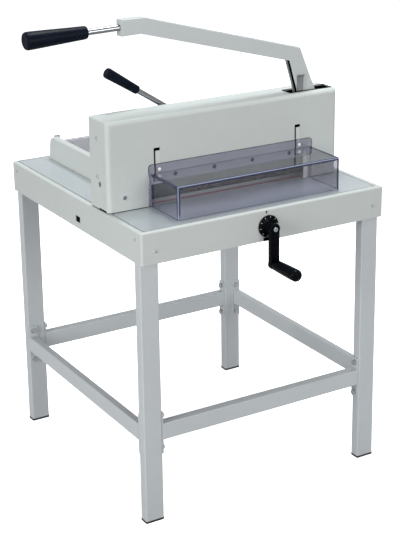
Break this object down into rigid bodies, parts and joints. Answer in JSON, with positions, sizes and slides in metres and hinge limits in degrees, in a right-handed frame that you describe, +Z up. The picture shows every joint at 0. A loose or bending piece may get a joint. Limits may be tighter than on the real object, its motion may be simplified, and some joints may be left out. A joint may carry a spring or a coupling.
{
  "type": "guillotine paper cutter",
  "caption": "Hand-lever guillotine paper cutter on a four-legged stand, with clamp lever, cranked back gauge and smoked guards.",
  "frame": {"origin": "centre of the whole machine's bounding box in plan, on the floor", "axes": "+Z up, -Y is the front where the operator stands, +X to the operator's right, along the cutting line"},
  "size_m": [0.8848, 0.8774, 1.2334],
  "materials": {
    "painted_frame": "satin powder coat, warm light grey",
    "painted_cover": "satin powder coat with fine texture, light grey",
    "table_enamel": "smooth glossy enamel, cool light grey",
    "lever_paint": "satin powder coat, light grey",
    "cut_steel": "ground mild steel, light oil film",
    "cheek_iron": "machined cast iron, grey primer",
    "blade_steel": "fine ground tool steel",
    "bright_steel": "bright plated",
    "dark_bolt": "dark zinc",
    "painted_screw": "satin plated",
    "bronze_bush": "sintered bronze",
    "black_plastic": "moulded black plastic, satin",
    "gauge_metal": "machined aluminium",
    "cutting_stick_plastic": "extruded red plastic, scored",
    "smoked_acrylic": "polished smoked acrylic"
  },
  "bodies": {
    "machine": {"leg_front_left": "painted_frame", "leg_front_right": "painted_frame", "leg_rear_left": "painted_frame", "leg_rear_right": "painted_frame", "brace_front": "painted_frame", "brace_rear": "painted_frame", "brace_left": "painted_frame", "brace_right": "painted_frame", "table_crossmembers": "painted_frame", "table_frame": "painted_cover", "gate_front_cover": "painted_cover", "gate_rear_cover": "painted_cover", "rear_wall_left": "painted_cover", "rear_wall_right": "painted_cover", "rear_wall_back": "painted_cover", "table_plate": "table_enamel", "left_guide_plate": "cut_steel", "right_guide_plate": "cut_steel", "gate_beam": "cut_steel", "clamp_guide_blocks": "cut_steel", "hinge_brackets": "cut_steel", "left_cheek": "cheek_iron", "right_cheek": "cheek_iron", "lead_screw_bearings": "cheek_iron", "guide_rails": "bright_steel", "stand_bolts": "dark_bolt", "cover_screws": "painted_screw", "shaft_bushes": "bronze_bush", "foot_caps": "black_plastic", "lever_slot_liner": "black_plastic", "cutting_stick": "cutting_stick_plastic"},
    "cutting_lever": {"lever_arm": "lever_paint", "lever_hub": "cut_steel", "lever_shaft": "bright_steel", "drive_roller": "bright_steel", "lever_rod": "bright_steel", "lever_grip": "black_plastic"},
    "knife_bar": {"knife_carrier": "cut_steel", "knife": "blade_steel", "knife_bolts": "dark_bolt", "knife_guide_rollers": "bright_steel"},
    "clamp": {"clamp_beam": "cut_steel", "clamp_rack": "cut_steel", "clamp_guide_rods": "bright_steel"},
    "clamp_handle": {"clamp_pinion": "cut_steel", "clamp_shaft": "bright_steel", "clamp_lever": "bright_steel", "clamp_grip": "black_plastic"},
    "latch": {"lever_latch": "cut_steel"},
    "guard": {"front_guard": "smoked_acrylic", "guard_bars": "cut_steel", "guard_screws": "bright_steel"},
    "crank": {"crank_dial": "black_plastic", "crank_arm": "black_plastic", "lead_screw": "bright_steel", "crank_screw": "bright_steel"},
    "crank_grip": {"crank_handle": "black_plastic"},
    "back_gauge": {"back_gauge_carriage": "black_plastic", "back_gauge_fence": "gauge_metal"},
    "rear_lid": {"rear_cover_lid": "smoked_acrylic"}
  },
  "joints": [
    {"name": "cutting_lever_swing", "type": "hinge", "parent": "machine", "child": "cutting_lever", "pos_m": [0.35394, -0.0949, 0.941], "axis": [0, 1, 0], "range_deg": [-14, 42]},
    {"name": "knife_draw", "type": "slide", "parent": "machine", "child": "knife_bar", "axis": [0.342, 0, 0.9397], "range_m": [-0.01125, 0.0336]},
    {"name": "clamp_lever_swing", "type": "hinge", "parent": "machine", "child": "clamp_handle", "pos_m": [0.08694, -0.0284, 0.904], "axis": [0, 1, 0], "range_deg": [-21.8, 44.5]},
    {"name": "clamp_travel", "type": "slide", "parent": "machine", "child": "clamp", "axis": [0, 0, 1], "range_m": [-0.0138, 0.0281]},
    {"name": "latch_swing", "type": "hinge", "parent": "machine", "child": "latch", "pos_m": [0.31444, -0.1101, 0.9845], "axis": [0, 1, 0], "range_deg": [-8, 12], "stiffness_Nm_per_rad": 0.05},
    {"name": "guard_lift", "type": "slide", "parent": "machine", "child": "guard", "axis": [0, 0, 1], "range_m": [0, 0.045]},
    {"name": "crank_turn", "type": "hinge", "parent": "machine", "child": "crank", "pos_m": [0.08694, -0.3065, 0.7245], "axis": [0, -1, 0], "range_deg": [-10440, 3960]},
    {"name": "crank_grip_spin", "type": "hinge", "parent": "crank", "child": "crank_grip", "pos_m": [0.08694, -0.3904, 0.633], "axis": [0, -1, 0], "continuous": true},
    {"name": "back_gauge_travel", "type": "slide", "parent": "machine", "child": "back_gauge", "axis": [0, 1, 0], "range_m": [-0.2902, 0.1102]},
    {"name": "rear_lid_swing", "type": "hinge", "parent": "machine", "child": "rear_lid", "pos_m": [0.08344, -0.0354, 0.8352], "axis": [1, 0, 0], "range_deg": [0, 65]}
  ],
  "couplings": [
    {"joint": "knife_draw", "follows": "cutting_lever_swing", "m_per_rad": 0.045727},
    {"joint": "clamp_travel", "follows": "clamp_lever_swing", "m_per_rad": 0.036},
    {"joint": "back_gauge_travel", "follows": "crank_turn", "m_per_rad": 0.0015915}
  ]
}
